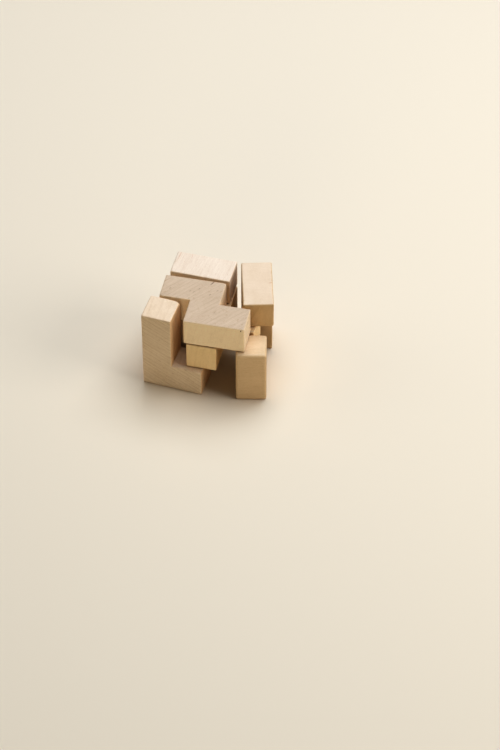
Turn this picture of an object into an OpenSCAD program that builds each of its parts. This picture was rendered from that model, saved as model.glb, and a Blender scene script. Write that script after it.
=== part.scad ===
// Block puzzle: a cube three units on a side, cut into seven flat blocks of
// sawn plank that slide together. It stands loosened, as a hand leaves it
// half taken apart. X runs to the right, Y to the back and Z up. The origin
// is the middle of the closed cube's underside.

/* [Blocks] */
// Side of one unit of the cube, which is also the thickness of the plank
unit = 17; // [12:0.5:30]
// Clearance between two neighbouring blocks of the closed cube
play = 0.3; // [0.1:0.05:0.8]
// Depth of the flat that eases every outer edge
ease = 0.8; // [0.3:0.1:2]

/* [Rest pose] */
// How far the cube stands open: 0 is closed, 1 is loosened
open = 1; // [0:0.05:1]
// Front left block: slip of its rear left corner to the right and back, in units
front_left_slip = [-0.36, -0.05]; // [-1:0.005:1]
// Front left block: turn about that corner, in degrees
front_left_turn = -4.5; // [-8:0.5:0]
// Top block: slip of its rear right corner, in units
top_slip = [-0.13, 0.03]; // [-1:0.005:1]
// Top block: turn about that corner, in degrees
top_turn = 1.2; // [0:0.1:1.6]
// Front right block: slip of the rear right corner of its post, in units
front_right_slip = [0.42, 0.035]; // [-1:0.005:1]
// Front right block: turn about that corner, in degrees
front_right_turn = 12.5; // [8:0.5:18]
// Rear right block: slip of its rear left corner, in units
rear_right_slip = [0.08, 0.08]; // [-1:0.005:1]
// Rear right block: turn about that corner, in degrees
rear_right_turn = 15; // [5:0.5:20]
// Rear left block: slip of its front right corner, in units
rear_left_slip = [-0.05, 0.095]; // [-1:0.005:1]
// Rear left block: turn about that corner, in degrees
rear_left_turn = -1.5; // [-2:0.1:0]
// Inner block: slip of its front left corner, in units
inner_slip = [-0.35, 0.055]; // [-1:0.005:1]
// Inner block: turn about that corner, in degrees
inner_turn = -0.5; // [-1:0.1:0]

/* [Hidden] */
// Units along one side of the closed cube
cube_units = 3;
pale_wood = [0.90, 0.79, 0.63];
warm_wood = [0.84, 0.70, 0.50];
pink_wood = [0.87, 0.75, 0.62];

// Outline of a w by h rectangle with its four corners cut off at 45 degrees.
function eased_outline(w, h) = [
    [ease, 0], [w - ease, 0], [w, ease], [w, h - ease],
    [w - ease, h], [ease, h], [0, h - ease], [0, ease]
];

// Box with all twelve edges eased: the meeting of three eased outlines,
// drawn through it along Z, Y and X.
module eased_box(size) {
    intersection() {
        linear_extrude(size.z) polygon(eased_outline(size.x, size.y));
        translate([0, size.y, 0]) rotate([90, 0, 0])
            linear_extrude(size.y) polygon(eased_outline(size.x, size.z));
        rotate([90, 0, 90])
            linear_extrude(size.x) polygon(eased_outline(size.y, size.z));
    }
}

// Straight run of cube cells from the cell `first` to the cell `last`. Cells
// count from the front left bottom corner, and half the clearance comes off
// each face, with the undersides of the lowest cells left at Z = 0.
module run(first, last) {
    cells = last - first + [1, 1, 1];
    translate(first * unit + [play / 2, play / 2, 0])
        eased_box(cells * unit - [play, play, play]);
}

// Puts a block, drawn in its place in the closed cube, into the rest pose. Its
// corner `pivot`, counted in units from the cube's front left corner, moves by
// `slip` and the block turns about it.
module loosened(pivot, slip, turn) {
    middle = [cube_units / 2, cube_units / 2];
    translate((pivot + open * slip - middle) * unit)
        rotate(open * turn)
            translate(-pivot * unit)
                children();
}

// T of four cells lying flat in the middle layer. It locks the others and
// stays where it is while they slide away from it.
module middle_t_block() {
    color(warm_wood) loosened([0, 0], [0, 0], 0) {
        run([1, 0, 1], [1, 2, 1]);
        run([1, 1, 1], [2, 1, 1]);
    }
}

// L of four cells standing in the front layer, foot to the right.
module front_left_l_block() {
    color(pink_wood) loosened([0, 1], front_left_slip, front_left_turn) {
        run([0, 0, 0], [0, 0, 2]);
        run([0, 0, 0], [1, 0, 0]);
    }
}

// Z of four cells lying flat on top.
module top_z_block() {
    color(pink_wood) loosened([2, 2], top_slip, top_turn) {
        run([1, 0, 2], [2, 0, 2]);
        run([1, 0, 2], [1, 1, 2]);
        run([0, 1, 2], [1, 1, 2]);
    }
}

// Corner of three cells: a post at the front right, with a foot to the back.
module front_right_v_block() {
    color(warm_wood) loosened([3, 1], front_right_slip, front_right_turn) {
        run([2, 0, 0], [2, 0, 1]);
        run([2, 0, 0], [2, 1, 0]);
    }
}

// L of four cells: a leg at the rear right, with a head that reaches forward.
module rear_right_l_block() {
    color(warm_wood) loosened([2, 3], rear_right_slip, rear_right_turn) {
        run([2, 2, 0], [2, 2, 2]);
        run([2, 1, 2], [2, 2, 2]);
    }
}

// U of five cells standing in the rear layer, open to the right round the
// rear end of the middle block.
module rear_left_u_block() {
    color(pale_wood) loosened([2, 2], rear_left_slip, rear_left_turn) {
        run([0, 2, 0], [0, 2, 2]);
        run([0, 2, 2], [1, 2, 2]);
        run([0, 2, 0], [1, 2, 0]);
    }
}

// Corner of three cells, out of sight under the top and middle blocks.
module inner_v_block() {
    color(pale_wood) loosened([0, 1], inner_slip, inner_turn) {
        run([0, 1, 0], [0, 1, 1]);
        run([0, 1, 0], [1, 1, 0]);
    }
}

middle_t_block();
front_left_l_block();
top_z_block();
front_right_v_block();
rear_right_l_block();
rear_left_u_block();
inner_v_block();
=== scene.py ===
import math

import bpy
import numpy as np
from mathutils import Matrix, Vector


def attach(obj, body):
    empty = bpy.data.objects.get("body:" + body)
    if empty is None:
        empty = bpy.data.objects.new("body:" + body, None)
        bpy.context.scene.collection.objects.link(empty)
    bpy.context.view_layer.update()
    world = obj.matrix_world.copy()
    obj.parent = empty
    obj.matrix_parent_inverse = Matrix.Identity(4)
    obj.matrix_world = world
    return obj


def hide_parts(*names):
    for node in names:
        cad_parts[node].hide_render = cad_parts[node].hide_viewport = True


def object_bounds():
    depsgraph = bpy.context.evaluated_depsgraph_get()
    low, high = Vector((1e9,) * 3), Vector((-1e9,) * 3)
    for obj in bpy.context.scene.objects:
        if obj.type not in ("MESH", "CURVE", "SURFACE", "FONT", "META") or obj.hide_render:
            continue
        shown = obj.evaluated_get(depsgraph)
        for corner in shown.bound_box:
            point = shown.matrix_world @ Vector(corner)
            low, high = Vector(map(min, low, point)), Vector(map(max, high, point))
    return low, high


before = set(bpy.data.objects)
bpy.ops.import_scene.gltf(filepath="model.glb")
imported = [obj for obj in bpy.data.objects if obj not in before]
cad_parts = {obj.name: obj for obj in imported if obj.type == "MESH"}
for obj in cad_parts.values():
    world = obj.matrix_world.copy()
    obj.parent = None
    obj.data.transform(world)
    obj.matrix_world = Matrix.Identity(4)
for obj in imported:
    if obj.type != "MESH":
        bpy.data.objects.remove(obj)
cad_low, cad_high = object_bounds()


# ---------------------------------------------------------------------------
# Middle block. A T of four cells, sawn from one piece of hard maple plank,
# sanded by hand and left bare. It lies flat and the other six slide off it.


def turned(angle):
    """Matrix of a turn by angle about Z. Rows of points times it are turned back."""
    return np.array(Matrix.Rotation(angle, 3, "Z"))


def stance(node):
    """The way a block stands: its turn about Z, and the low and high corners of
    its box in its own turned axes. The turn is the angle of the normal of its
    largest upright face, less whole quarter turns."""
    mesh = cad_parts[node].data
    normals = np.empty(3 * len(mesh.polygons))
    mesh.polygons.foreach_get("normal", normals)
    normals = normals.reshape(-1, 3)
    areas = np.empty(len(mesh.polygons))
    mesh.polygons.foreach_get("area", areas)
    areas[abs(normals[:, 2]) > 0.1] = 0
    facing = normals[areas.argmax()]
    quarter = math.pi / 2
    turn = math.remainder(math.atan2(facing[1], facing[0]), quarter)
    points = np.empty(3 * len(mesh.vertices))
    mesh.vertices.foreach_get("co", points)
    own = points.reshape(-1, 3) @ turned(turn)
    return turn, own.min(0), own.max(0)


def boxes_of(runs, low, high):
    """Low and high corners of each straight run of cells. A block of n cells is
    n units less one clearance long, so two of its sides give both the unit and
    the clearance."""
    runs = np.array(runs, float)
    first, last = runs[:, 0], runs[:, 1]
    first, last = first - runs.min((0, 1)), last - runs.min((0, 1))
    cells = last.max(0) + 1
    sides = high - low
    long, short = cells.argmax(), cells.argmin()
    unit = (sides[long] - sides[short]) / (cells[long] - cells[short])
    play = cells[short] * unit - sides[short]
    return low + first * unit, low + (last + 1) * unit - play


def stations(planes, ease, pitch):
    """Places along one axis where the skin has a row of points: every face
    plane, four more at equal angles round the easing on both sides of it, and
    the rest no further apart than pitch."""
    planes = np.unique(planes.round(7))
    steps = ease * (1 - np.tan(np.radians([0, 11, 22, 33])))
    near = (planes[:, None] + np.concatenate([steps, -steps])).ravel()
    near = near[(near > planes[0]) & (near < planes[-1])]
    near = near[abs(near[:, None] - planes).min(1) > ease / 9]
    rows = [planes[0]]
    for place in np.unique(np.concatenate([planes, near])):
        gap = place - rows[-1]
        if gap > ease / 12 or place in planes and gap > 0:
            rows += list(np.linspace(rows[-1], place, int(gap / pitch) + 2)[1:])
    return np.array(rows)


def skin(lows, highs, ease, pitch=0.0007):
    """Outer surface of several boxes that overlap, as points and outward quads.
    A lattice is laid through every box. Where it goes from empty to full along
    an axis there is a face that looks back along it, and where it goes from full
    to empty there is one that looks forward."""
    rows = [stations(np.concatenate([lows[:, k], highs[:, k]]), ease, pitch) for k in range(3)]
    mids = [(r[1:] + r[:-1]) / 2 for r in rows]
    inside = [
        (mids[k] > lows[:, k, None]) & (mids[k] < highs[:, k, None]) for k in range(3)
    ]
    full = np.einsum("bi,bj,bk->ijk", *[i.astype(int) for i in inside]) > 0
    counts = np.array([len(r) for r in rows])
    strides = np.array([counts[1] * counts[2], counts[2], 1])
    quads = []
    for axis in range(3):
        pad = [(1, 1) if k == axis else (0, 0) for k in range(3)]
        change = np.diff(np.pad(full, pad).astype(int), axis=axis)
        one, two = strides[(axis + 1) % 3], strides[(axis + 2) % 3]
        ring = np.array([0, one, one + two, two])
        for sign, way in ((-1, ring), (1, ring[::-1])):
            at = np.argwhere(change == sign) @ strides
            quads.append(at[:, None] + way)
    quads = np.concatenate(quads)
    used, quads = np.unique(quads, return_inverse=True)
    places = np.unravel_index(used, counts)
    points = np.stack([rows[k][places[k]] for k in range(3)], 1)
    return points, quads.reshape(-1, 4)


def waver(points, seed, length):
    """Slow random waves between -1 and 1: a mean of sines that run in random
    directions, about length long."""
    rng = np.random.default_rng(seed)
    ways = rng.normal(size=(3, 9)) * 2 * math.pi / length
    return np.sin(points @ ways + rng.uniform(0, 2 * math.pi, 9)).mean(1) * 1.6


def eased(points, lows, highs, ease, worn, seed):
    """Rounds the convex edges. A core lies one radius inside each box, and a
    point goes to one radius from the nearest place on the nearest core. Where
    two cores are as near, at an inner corner, each axis takes the larger move,
    which mitres the two rounded edges. The radius wavers as hand sanding does,
    and swells by a bell curve of distance round a worn corner. Returns the
    points and the direction each of them faces."""
    radius = ease * (1 + 0.16 * waver(points, seed, 0.03))[:, None]
    for corner, more in worn:
        away = np.linalg.norm(points - corner, axis=1, keepdims=True)
        radius += more * np.exp(-((away / 0.0035) ** 2))
    moves, reach = [], []
    for low, high in zip(lows, highs):
        core = points.clip(low + radius, high - radius)
        out = points - core
        away = np.linalg.norm(out, axis=1, keepdims=True)
        moves.append(core + out / away * radius - points)
        reach.append(away[:, 0])
    moves, reach = np.array(moves), np.array(reach)
    tied = reach < reach.min(0) + 1e-7
    moves = np.where(tied[..., None], moves, 0)
    pick = abs(moves).argmax(0)
    moved = points + np.take_along_axis(moves, pick[None], 0)[0]
    nearest = reach.argmin(0)
    core = points.clip(lows[nearest] + radius, highs[nearest] - radius)
    facing = (points - core) / np.linalg.norm(points - core, axis=1, keepdims=True)
    return moved, facing


def bruised(points, facing, edge, count, seed):
    """Small dents along the edges from knocks: each pushes the wood in along its
    facing by a bell curve of distance. Returns the points and, for each, how
    bruised it is."""
    rng = np.random.default_rng(seed)
    sharp = np.flatnonzero(edge > 0.8)
    middle = points[rng.choice(sharp, count, replace=False)]
    width = rng.uniform(0.0003, 0.0009, count)
    depth = rng.uniform(0.00003, 0.00014, count)
    away = np.linalg.norm(points[:, None] - middle, axis=2)
    bell = np.exp(-((away / width) ** 2))
    return points - facing * (bell @ depth)[:, None], bell.max(1)


def block(node, runs, fibre, ease, seed, worn=()):
    """A finished block that stands in for a CAD node: the skin of its runs of
    cells, eased and bruised, turned as the node is. Its attributes say how near
    an edge each point is, how bruised, and how far it faces along the fibre.
    Returns it with its turn and its low corner before that turn."""
    turn, low, high = stance(node)
    lows, highs = boxes_of(runs, low, high)
    points, quads = skin(lows, highs, ease)
    worn = [(low + corner, more) for corner, more in worn]
    points, facing = eased(points, lows, highs, ease, worn, seed)
    edge = ((1 - abs(facing).max(1)) / (1 - math.sqrt(0.5))).clip(0, 1)
    points, bruise = bruised(points, facing, edge, 26, seed)
    mesh = bpy.data.meshes.new(node + "_wood")
    mesh.vertices.add(len(points))
    mesh.loops.add(quads.size)
    mesh.polygons.add(len(quads))
    mesh.vertices.foreach_set("co", (points @ turned(turn).T).ravel())
    mesh.loops.foreach_set("vertex_index", quads.ravel())
    mesh.polygons.foreach_set("loop_start", np.arange(0, quads.size, 4))
    mesh.polygons.foreach_set("use_smooth", np.ones(len(quads), bool))
    mesh.update(calc_edges=True)
    mesh.set_sharp_from_angle(angle=math.radians(50))
    along = np.array(fibre, float) / np.linalg.norm(fibre)
    said = {"edge": edge, "bruise": bruise, "end_grain": np.linalg.norm(facing * along, axis=1)}
    for name, values in said.items():
        layer = mesh.attributes.new(name, "FLOAT", "POINT")
        layer.data.foreach_set("value", values.astype(np.float32))
    piece = bpy.data.objects.new(node + "_wood", mesh)
    bpy.context.scene.collection.objects.link(piece)
    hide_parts(node)
    return piece, (turn, low)


class Wire:
    """A shader socket that does sums. An operator adds the Math node for it, and
    node() adds any other node."""

    def __init__(self, tree, socket=None):
        self.tree, self.socket = tree, socket

    def node(self, kind, settings=None, sockets=None, out=0):
        """Adds a node, sets its settings, then gives its sockets, by name or by
        number, their values or links. Returns the output called out."""
        made = self.tree.nodes.new(kind)
        for key, value in (settings or {}).items():
            setattr(made, key, value)
        for key, value in (sockets or {}).items():
            if isinstance(value, Wire):
                self.tree.links.new(value.socket, made.inputs[key])
            else:
                made.inputs[key].default_value = value
        return Wire(self.tree, made.outputs[out])

    def beside(self, out):
        """Another output of the node that this socket is on."""
        return Wire(self.tree, self.socket.node.outputs[out])

    def math(self, operation, *others):
        """This value and the others through one Math node."""
        values = dict(enumerate((self, *others)))
        return self.node("ShaderNodeMath", {"operation": operation}, values)

    def __add__(self, other):
        return self.math("ADD", other)

    __radd__ = __add__

    def __mul__(self, other):
        return self.math("MULTIPLY", other)

    __rmul__ = __mul__

    def __sub__(self, other):
        return self.math("SUBTRACT", other)

    def __rsub__(self, other):
        return (self * -1) + other

    def __truediv__(self, other):
        return self.math("DIVIDE", other)

    def __pow__(self, other):
        return self.math("POWER", other)

    def ease_in(self, low, high):
        """Zero below low, one above high and a smooth step between them."""
        settings = {"interpolation_type": "SMOOTHSTEP"}
        values = {"Value": self, "From Min": low, "From Max": high}
        return self.node("ShaderNodeMapRange", settings, values)

    def mix(self, colour, share, blend="MIX"):
        """This colour mixed with another one by share."""
        settings = {"data_type": "RGBA", "blend_type": blend, "clamp_factor": True}
        return self.node("ShaderNodeMix", settings, {0: share, 6: self, 7: colour}, 2)


def hardwood(name, stand, fibre, layers, pale, dark, ends=(1, 1, 1), lines=1.0, marks=()):
    """Bare sanded maple, worked out in the log it came from. There, in
    millimetres, u runs along the fibre, v along the growth layers and w across
    them. The layers are rings about a pith 220 mm away, each 2.3 mm wide, and
    bent by slow noise: late = f^5 (1 - step(0.93, 1, f)), where f is how far a
    point is through its year. Fibres, pores and rays are noise drawn out along
    the way each of them grows, so every face shows them as its cut does.
    ends multiplies the colour where the face looks along the
    fibre: it paints a sheen where it lightens those faces and paints shade where
    it darkens them, and there it also stands for the darker tone of real end
    grain. lines is how strong the layers show. Each mark has a place from the
    block's low corner and a size, both in millimetres, a turn about Z, a colour
    and a strength."""
    turn, low = stand
    material = bpy.data.materials.new(name)
    material.use_nodes = True
    tree = material.node_tree
    tree.nodes.clear()
    start = Wire(tree)
    along = Vector(fibre).normalized()
    across = Vector(layers)
    across = (across - across.dot(along) * along).normalized()
    axes = Matrix((along, across.cross(along), across))
    unturn = Matrix.Rotation(-turn, 3, "Z")
    place = start.node("ShaderNodeTexCoord", out="Object")

    def mapped(matrix, offset=(0, 0, 0)):
        """Object coordinates in millimetres, turned by a matrix, then moved."""
        angles = matrix.to_euler("XYZ")
        sockets = {"Vector": place, "Rotation": angles, "Scale": (1000,) * 3, "Location": offset}
        return place.node("ShaderNodeMapping", {"vector_type": "POINT"}, sockets)

    def times(vector, scale):
        """A vector multiplied by another, part by part."""
        return vector.node("ShaderNodeVectorMath", {"operation": "MULTIPLY"}, {0: vector, 1: scale})

    log = mapped(axes @ unturn)

    def drawn(scale, detail=2.0, rough=0.5):
        """Noise about zero whose grains are 1/scale millimetres along u, v, w."""
        sockets = {"Vector": times(log, scale), "Scale": 1.0, "Detail": detail, "Roughness": rough}
        return log.node("ShaderNodeTexNoise", None, sockets) - 0.5

    edge = start.node("ShaderNodeAttribute", {"attribute_name": "edge"}, out="Fac")
    bruise = start.node("ShaderNodeAttribute", {"attribute_name": "bruise"}, out="Fac")
    end = start.node("ShaderNodeAttribute", {"attribute_name": "end_grain"}, out="Fac")
    v = log.node("ShaderNodeSeparateXYZ", None, {0: log}, "Y")
    w = v.beside("Z")
    bend = drawn((0.015, 0.03, 0.05), 1.0)
    pith, year = 220, 2.3
    ring = (v * v + (w + pith) * (w + pith)).math("SQRT") + bend * 2
    season = (ring / year + drawn((0.01, 0.02, 0.2), 1.0)).math("FRACT")
    late = season ** 5 * (1 - season.ease_in(0.93, 1.0))
    bands = drawn((0.03, 0.04, 1.0), 3.0, 0.68)
    fibres = drawn((0.12, 0.35, 1.6), 4.0, 0.62) * (1 - end * 0.4)
    fine = drawn((0.6, 3.6, 3.6), 3.0, 0.7)
    cloud = drawn((0.05, 0.10, 0.10), 2.0)
    mottle = drawn((0.5, 0.8, 0.8), 3.0, 0.7)
    side = 1 - end.ease_in(0.25, 0.7)
    show = 1 - end * 0.85
    rays = (drawn((0.5, 5.0, 0.6), 2.0, 0.6) + 0.5).ease_in(0.60, 0.76) * side
    sockets = {"Vector": times(log, (0.45, 3.2, 3.2)), "Scale": 1.0}
    cells = log.node("ShaderNodeTexVoronoi", {"feature": "F1"}, sockets)
    pores = 1 - cells.ease_in(0.12, 0.30)

    depth = (
        0.40
        + (late * 0.5 + bands * 1.1) * show * lines
        + fibres * 0.6
        + fine * 0.9
        + mottle * 0.35
        + cloud * 0.6
        + pores * 0.15
        + bruise * 0.35
    )
    colour = log.node("ShaderNodeMix", {"data_type": "RGBA"}, {0: depth, 6: pale, 7: dark}, 2)
    fleck = tuple(c * k for c, k in zip(dark, (0.86, 0.74, 0.60))) + (1,)
    colour = colour.mix(fleck, rays * 0.4)
    # Faces that look along the fibre are multiplied by a factor given per block: a painted sheen where
    # it lightens them, painted shade where it darkens them, and on one block also the darker tone of
    # real end grain.
    end_tone_and_light_colour = start.node("ShaderNodeVectorMath", {"operation": "MULTIPLY"}, {0: colour, 1: ends})
    colour = colour.mix(end_tone_and_light_colour, end * end)
    colour = colour.mix((1.0, 0.93, 0.82, 1), edge * 0.6, "MULTIPLY")
    own = mapped(unturn, tuple(-1000 * low))
    for centre, size, angle, stain, strength in marks:
        away = own.node(
            "ShaderNodeMapping",
            {"vector_type": "TEXTURE"},
            {"Vector": own, "Location": centre, "Rotation": (0, 0, angle), "Scale": size},
        )
        away = away.node("ShaderNodeVectorMath", {"operation": "LENGTH"}, {0: away}, 1)
        share = (1 - (away + mottle * 1.2).ease_in(0.4, 1.1)) * strength
        colour = colour.mix(stain, share)
    rough = 0.60 - edge * 0.14 + fibres * 0.14 + end * 0.06 + pores * 0.1
    height = fine * 0.05 + fibres * 0.02 - pores * 0.02 - late * 0.008
    bump = log.node("ShaderNodeBump", None, {"Strength": 0.9, "Distance": 0.001, "Height": height})
    sockets = {"Base Color": colour, "Roughness": rough, "Normal": bump, "Specular IOR Level": 0.35}
    surface = log.node("ShaderNodeBsdfPrincipled", None, sockets)
    output = tree.nodes.new("ShaderNodeOutputMaterial")
    tree.links.new(surface.socket, output.inputs["Surface"])
    return material


def wood(piece, *given, **more):
    """Gives a block its own maple."""
    piece.data.materials.append(hardwood(piece.name + "_maple", *given, **more))


fibre, layers = (0.75, 0.66, 0.0), (-0.66, 0.75, 0.0)
middle, stand = block(
    "middle_t_block", [((1, 0, 1), (1, 2, 1)), ((1, 1, 1), (2, 1, 1))], fibre, 0.0006, 11
)
# Its ends, the faces that look along the fibre, are painted lighter and paler than the sides: a painted
# sheen.
wood(
    middle, stand, fibre, layers, (0.79, 0.58, 0.335, 1), (0.63, 0.43, 0.21, 1),
    ends=(1.6, 1.7, 1.75), lines=0.9,
)
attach(middle, "middle")


# ---------------------------------------------------------------------------
# Front left block. An L of four cells that stands on its edge. Its plank was
# sawn aslant, so the grain runs down to the right across column and foot, and
# straight back over the top. The corner the thumb pushes on is worn round.

fibre, layers = (0.88, 0.0, -0.47), (0.47, 0.12, 0.88)
thumb_corner = (0.017, 0.017, 0.051)
front_left, stand = block(
    "front_left_l_block", [((0, 0, 0), (0, 0, 2)), ((0, 0, 0), (1, 0, 0))], fibre, 0.0006, 23,
    worn=[(thumb_corner, 0.0009)],
)
# The faces that look along the fibre, most of all the right side that faces into the gap, are painted
# darker and more orange: the darker tone of end grain, deepened by painted shade.
wood(
    front_left, stand, fibre, layers, (0.88, 0.71, 0.51, 1), (0.68, 0.50, 0.31, 1),
    ends=(0.98, 0.80, 0.56), lines=0.85,
)
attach(front_left, "front_left")


# ---------------------------------------------------------------------------
# Inner block. A corner of three cells, sawn from the same maple, that stands
# on the table out of sight under the top and middle blocks.

fibre, layers = (0.1, 1, 0.05), (1, 0, 0.5)
inner, stand = block(
    "inner_v_block", [((0, 1, 0), (0, 1, 1)), ((0, 1, 0), (1, 1, 0))], fibre, 0.0006, 31
)
wood(inner, stand, fibre, layers, (0.84, 0.66, 0.45, 1), (0.66, 0.47, 0.28, 1))
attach(inner, "inner")


# ---------------------------------------------------------------------------
# Rear left block. A U of five cells, paler than the rest, with fine lines from
# front to back over its top and a few orange streaks of mineral stain. It holds
# the rear end of the middle block.

fibre, layers = (0.08, 1, 0.05), (1, -0.08, 0.35)
rear_left, stand = block(
    "rear_left_u_block",
    [((0, 2, 0), (0, 2, 2)), ((0, 2, 2), (1, 2, 2)), ((0, 2, 0), (1, 2, 0))],
    fibre, 0.0006, 47,
)
stain = (0.60, 0.30, 0.13, 1)
crown = 1000 * (cad_high[2] - cad_low[2])
wood(
    rear_left, stand, fibre, layers, (0.88, 0.715, 0.52, 1), (0.71, 0.52, 0.34, 1),
    lines=0.4,
    marks=[
        ((1.8, 13.0, crown), (0.3, 4.5, 0.6), -0.08, stain, 0.40),
        ((8.6, 15.0, crown), (0.3, 3.0, 0.6), 0.05, stain, 0.35),
        ((5.6, 9.1, crown), (0.35, 0.45, 0.6), 0.0, stain, 0.35),
        ((12.8, 7.6, crown), (0.35, 0.50, 0.6), 0.0, stain, 0.35),
    ],
)
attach(rear_left, "rear_left")


# ---------------------------------------------------------------------------
# Rear right block. An L of four cells: a leg with a head that reaches forward.
# The grain stands upright in it, so the top of the head is end grain, crossed
# from side to side by fine growth lines. The front is painted darker and more
# orange than the top, and the top lighter and paler: painted shade and warm
# bounce light on the front.

fibre, layers = (0.03, 0.06, 1), (0.05, 1, 0)
rear_right, stand = block(
    "rear_right_l_block", [((2, 2, 0), (2, 2, 2)), ((2, 1, 2), (2, 2, 2))], fibre, 0.0008, 59
)
wood(
    rear_right, stand, fibre, layers, (0.71, 0.50, 0.265, 1), (0.57, 0.37, 0.17, 1),
    ends=(1.17, 1.28, 1.65), lines=1.0,
    marks=[((15.6, 17.0, crown), (1.2, 0.35, 0.6), 0.1, (0.55, 0.24, 0.08, 1), 0.5)],
)
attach(rear_right, "rear_right")


# ---------------------------------------------------------------------------
# Front right block. A corner of three cells in maple: a post with a foot to
# the back, its edges sanded rounder than the others.

fibre, layers = (1, 0.1, 0.03), (0.05, 0.4, 1)
front_right, stand = block(
    "front_right_v_block", [((2, 0, 0), (2, 0, 1)), ((2, 0, 0), (2, 1, 0))], fibre, 0.0013, 67
)
wood(
    front_right, stand, fibre, layers, (0.78, 0.57, 0.34, 1), (0.63, 0.435, 0.23, 1), lines=0.3
)
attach(front_right, "front_right")


# ---------------------------------------------------------------------------
# Top block. A Z of four cells that lies flat on the rest and lifts straight
# up. Its grain runs slantwise over the top, with dark flecks in it, and comes
# out at the front, where a pin knot shows near the upper right corner.

fibre, layers = (0.64, 0.77, 0.0), (-0.77, 0.64, 0.0)
top, stand = block(
    "top_z_block",
    [((1, 0, 2), (2, 0, 2)), ((1, 0, 2), (1, 1, 2)), ((0, 1, 2), (1, 1, 2))],
    fibre, 0.0006, 83,
)
bark = (0.16, 0.06, 0.025, 1)
face = crown - 1000 * stand[1][2]
flecks = [(4.6, 23.8), (15.7, 23.8), (17.8, 23.4), (20.2, 26.3), (26.8, 22.9), (30.1, 26.8), (32.2, 9.8)]
# The faces that look along the fibre, the front and the right end, are painted much lighter and paler
# than the top: a painted sheen.
wood(
    top, stand, fibre, layers, (0.685, 0.505, 0.325, 1), (0.535, 0.375, 0.225, 1),
    ends=(2.0, 2.25, 2.4), lines=0.65,
    marks=[
        ((48.8, 0.0, 15.6), (0.38, 0.8, 0.75), 0.0, bark, 0.9),
        ((26.4, 32.3, face), (0.36, 2.7, 0.6), -0.5, bark, 0.75),
    ]
    + [((x, y, face), (0.24, 0.85, 0.6), -0.7, bark, 0.45) for x, y in flecks],
)
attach(top, "top")


# ---------------------------------------------------------------------------
# The table, the lights and the camera. A plain pale table top, a broad light
# above and behind, softer ones at both sides, and a long lens.

bpy.ops.mesh.primitive_plane_add(size=6)
table = bpy.context.object
table.name = "table"
paper = bpy.data.materials.new("table_top")
paper.use_nodes = True
sheet = paper.node_tree.nodes["Principled BSDF"]
sheet.inputs["Base Color"].default_value = (0.785, 0.65, 0.465, 1)
sheet.inputs["Roughness"].default_value = 0.9
table.data.materials.append(paper)


def around(azimuth, elevation, distance):
    """A place that far from the origin. Azimuth 0 is in front, 90 is to the
    right and 180 behind."""
    side, lift = math.radians(azimuth), math.radians(elevation)
    flat = distance * math.cos(lift)
    return Vector((flat * math.sin(side), -flat * math.cos(side), distance * math.sin(lift)))


def look(thing, target):
    """Turns a lamp or a camera to face the target."""
    thing.rotation_euler = (target - thing.location).to_track_quat("-Z", "Y").to_euler()


def lamp(name, azimuth, elevation, distance, size, watts, colour):
    """A square soft light, size metres on a side, that faces the puzzle."""
    light = bpy.data.lights.new(name, "AREA")
    light.shape, light.size, light.energy, light.color = "SQUARE", size, watts, colour
    holder = bpy.data.objects.new(name, light)
    holder.location = around(azimuth, elevation, distance)
    holder.visible_camera = False
    look(holder, Vector((0, 0, 0)))
    bpy.context.scene.collection.objects.link(holder)


lamp("back_light", 165, 70, 1.4, size=1.2, watts=22.4, colour=(0.925, 1.07, 1.36))
lamp("right_light", 88, 30, 1.2, size=0.6, watts=5.2, colour=(0.97, 1.05, 1.20))
lamp("left_light", -85, 30, 1.3, size=0.7, watts=1.6, colour=(0.97, 1.02, 1.12))
lamp("front_light", 0, 8, 1.4, size=0.5, watts=3.5, colour=(1.0, 1.0, 0.90))

world = bpy.data.worlds.new("room")
world.use_nodes = True
sky = world.node_tree.nodes["Background"]
sky.inputs["Color"].default_value = (1, 0.96, 0.80, 1)
sky.inputs["Strength"].default_value = 0.09
bpy.context.scene.world = world
bpy.context.scene.view_settings.view_transform = "Standard"
bpy.context.scene.view_settings.gamma = 0.72

lens = bpy.data.cameras.new("camera")
lens.lens = 129.4
lens.clip_start, lens.clip_end = 0.05, 20
camera = bpy.data.objects.new("camera", lens)
aim = Vector((0.0232, -0.0081, 0.0002))
camera.location = aim + around(13.2, 45.6, 1.4875)
look(camera, aim)
bpy.context.scene.collection.objects.link(camera)
bpy.context.scene.camera = camera
